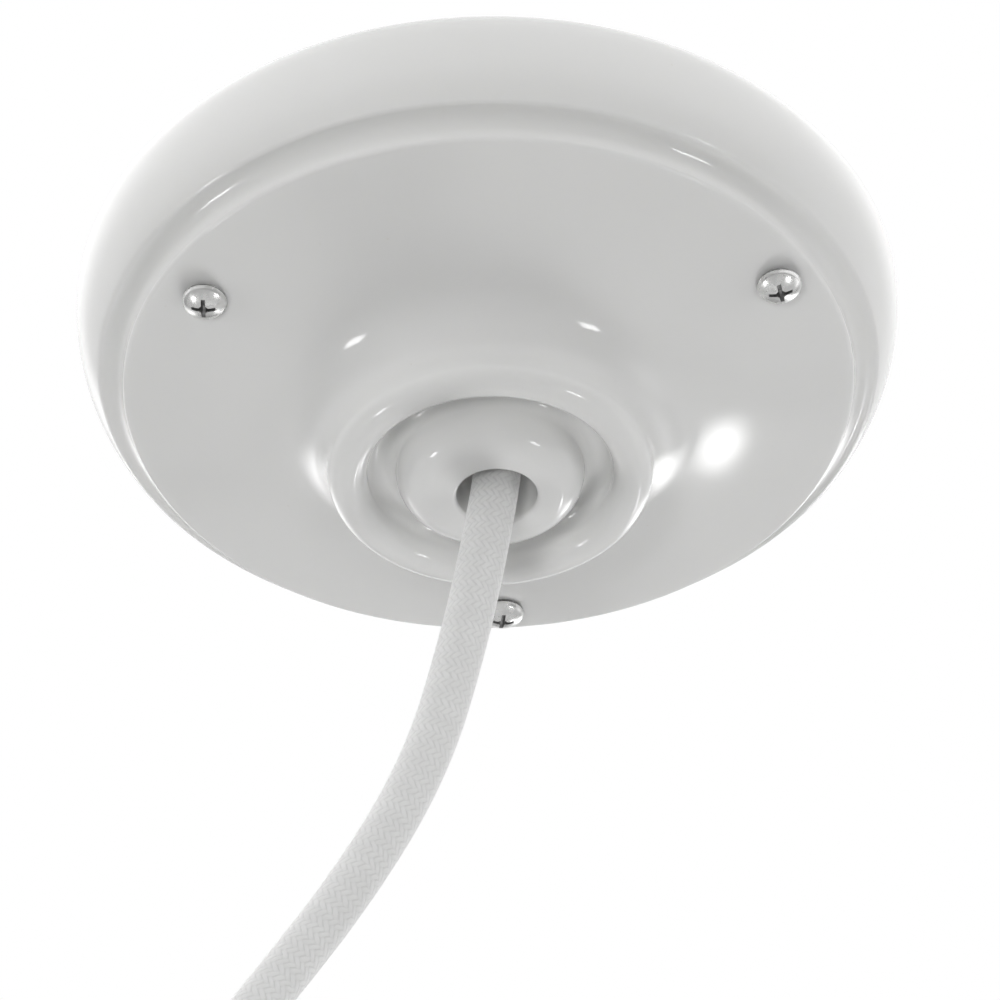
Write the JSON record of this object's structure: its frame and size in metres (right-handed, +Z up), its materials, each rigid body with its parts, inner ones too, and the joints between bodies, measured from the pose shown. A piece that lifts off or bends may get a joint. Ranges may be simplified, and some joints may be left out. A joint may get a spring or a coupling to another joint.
{
  "type": "ceiling rose",
  "caption": "Round glazed ceiling rose with a stepped rim, a trumpet neck with a ringed mouth, screws through its face and a braided round flex hanging from it, its spare end coiled and tied.",
  "frame": {"origin": "middle of the mounting bracket on the plane of the ceiling, halfway between its two fixing slots", "axes": "+Z up into the ceiling, +X along the line of the two fixing slots, -Y towards the viewer and the terminal block, +Y towards the single far cover screw"},
  "size_m": [0.119, 0.11, 0.2483],
  "materials": {
    "glaze": "glossy white glaze",
    "plated_steel": "bright zinc plate",
    "brass": "turned",
    "block_plastic": "matte moulded",
    "tinned_copper": "satin tin plate",
    "live_insulation": "satin brown",
    "neutral_insulation": "satin blue",
    "earth_insulation": "satin green with a yellow stripe",
    "braid": "white plaited braid",
    "tie_plastic": "satin white",
    "sleeve_plastic": "satin white shrunk tube"
  },
  "bodies": {
    "root": {"rose_cover": "glaze", "mounting_bracket": "plated_steel", "cover_screw_left": "plated_steel", "cover_screw_right": "plated_steel", "cover_screw_back": "plated_steel", "grip_bracket": "plated_steel", "grip_saddle": "plated_steel", "grip_screw_left": "plated_steel", "grip_screw_right": "plated_steel", "grip_rivet_left": "plated_steel", "grip_rivet_right": "plated_steel", "terminal_block": "block_plastic", "terminal_tube_live": "brass", "terminal_tube_earth": "brass", "terminal_tube_neutral": "brass", "terminal_screw_live_outer": "brass", "terminal_screw_live_inner": "brass", "terminal_screw_earth_outer": "brass", "terminal_screw_earth_inner": "brass", "terminal_screw_neutral_outer": "brass", "terminal_screw_neutral_inner": "brass", "block_screw_left": "plated_steel", "block_screw_right": "plated_steel", "earth_washer": "plated_steel", "earth_lug": "tinned_copper", "earth_screw": "brass", "core_live": "live_insulation", "core_earth": "earth_insulation", "core_neutral": "neutral_insulation", "earth_link": "earth_insulation", "cord": "braid", "cord_coil": "braid", "cord_tail": "braid", "coil_tie": "tie_plastic", "end_sleeve": "sleeve_plastic", "end_core_live": "live_insulation", "end_core_neutral": "neutral_insulation", "end_core_earth": "earth_insulation", "ferrule_live": "tinned_copper", "ferrule_neutral": "tinned_copper", "ferrule_earth": "tinned_copper"}
  },
  "joints": []
}
